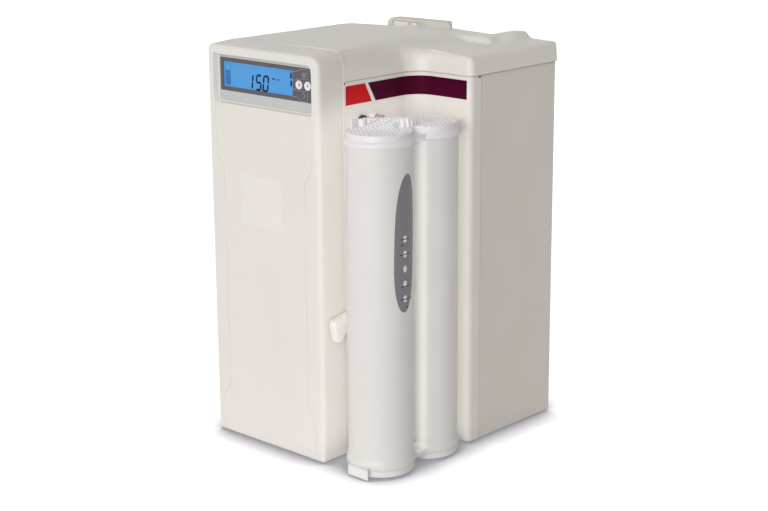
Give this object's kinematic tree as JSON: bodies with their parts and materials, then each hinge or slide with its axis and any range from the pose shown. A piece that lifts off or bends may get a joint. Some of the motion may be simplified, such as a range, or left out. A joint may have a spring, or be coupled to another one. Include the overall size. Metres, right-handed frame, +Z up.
{
  "type": "laboratory water purifier",
  "caption": "Bench water purifier: L-shaped cabinet with a recessed display, push buttons and a lift-off twin cartridge pack beside it.",
  "frame": {"origin": "middle of the whole footprint, on the bench under the feet", "axes": "+Z up, -Y towards the user in front of the display, +X to the cartridge pack's side"},
  "size_m": [0.3156, 0.3918, 0.55],
  "materials": {
    "cream_plastic": "fine moulded texture",
    "cream_panel": "powder coat",
    "white_plastic": "smooth moulded",
    "silver_plastic": "satin silver",
    "dark_print": "printed sheet",
    "blue_screen": "lit screen",
    "white_label": "printed film",
    "red_film": "printed film",
    "plum_film": "printed film",
    "grey_label": "printed film",
    "black_plastic": "moulded",
    "black_rubber": "moulded",
    "steel": "brushed",
    "zinc_sheet": "zinc coated sheet",
    "brass_metal": "turned",
    "circuit_board": "solder mask",
    "filter_media": "packed beads",
    "clear_hose": "extruded",
    "quartz": "clear",
    "grey_plastic": "moulded",
    "motor_paint": "enamel"
  },
  "bodies": {
    "cabinet": {"front_cover": "cream_plastic", "front_label": "white_label", "display_bezel": "silver_plastic", "display_mask": "dark_print", "lcd_module": "blue_screen", "display_board": "circuit_board", "top_cover": "cream_plastic", "rear_handle": "cream_plastic", "recess_wall": "cream_plastic", "right_side_panel": "cream_panel", "left_side_panel": "cream_panel", "rear_panel": "cream_panel", "rear_screws": "steel", "base_plate": "zinc_sheet", "rubber_feet": "black_rubber", "front_bulkhead": "zinc_sheet", "chassis_plate": "zinc_sheet", "stripe_red": "red_film", "stripe_plum": "plum_film", "pack_bracket": "cream_plastic", "port_socket": "black_plastic", "spare_port": "cream_plastic", "manifold": "grey_plastic", "lever_pin": "steel", "pump_mounts": "black_rubber", "pump_cradle": "zinc_sheet", "pump_motor": "motor_paint", "pump_head": "black_plastic", "ro_housing": "white_plastic", "ro_membrane": "filter_media", "ro_end_caps": "white_plastic", "pipe_clips": "grey_plastic", "edi_stack": "white_plastic", "edi_end_plates": "grey_plastic", "edi_tie_rods": "steel", "uv_reactor": "steel", "uv_lamp": "quartz", "uv_caps": "black_plastic", "power_supply": "zinc_sheet", "control_board": "circuit_board", "feed_tube": "clear_hose", "pump_tube": "clear_hose", "permeate_tube": "clear_hose", "feed_valve": "brass_metal", "rear_fittings": "white_plastic", "power_inlet": "black_plastic", "inlet_pins": "brass_metal"},
    "pack": {"pack_tube_front": "white_plastic", "pack_tube_rear": "white_plastic", "pack_media": "filter_media", "pack_top_cap": "white_plastic", "pack_bottom_cap": "white_plastic", "pack_label": "grey_label", "pack_nozzle": "white_plastic", "pack_o_rings": "black_rubber"},
    "button_left": {"button_left": "white_plastic"},
    "button_right": {"button_right": "white_plastic"},
    "lever": {"side_lever": "cream_plastic"},
    "plug": {"port_plug": "steel"},
    "rocker": {"power_rocker": "black_plastic"}
  },
  "joints": [
    {"name": "button_left_press", "type": "slide", "parent": "cabinet", "child": "button_left", "axis": [0, 1, 0], "range_m": [0, 0.0008], "stiffness_N_per_m": 900},
    {"name": "button_right_press", "type": "slide", "parent": "cabinet", "child": "button_right", "axis": [0, 1, 0], "range_m": [0, 0.0008], "stiffness_N_per_m": 900},
    {"name": "pack_pull", "type": "slide", "parent": "cabinet", "child": "pack", "axis": [1, 0, 0], "range_m": [0, 0.12]},
    {"name": "lever_turn", "type": "hinge", "parent": "cabinet", "child": "lever", "pos_m": [0.0494, -0.1229, 0.219], "axis": [-1, 0, 0], "range_deg": [0, 80]},
    {"name": "plug_turn", "type": "hinge", "parent": "cabinet", "child": "plug", "pos_m": [0.0598, -0.0919, 0.4564], "axis": [1, 0, 0], "range_deg": [0, 90]},
    {"name": "rocker_tilt", "type": "hinge", "parent": "cabinet", "child": "rocker", "pos_m": [-0.09782, 0.1749, 0.092], "axis": [1, 0, 0], "range_deg": [-8, 8]}
  ]
}
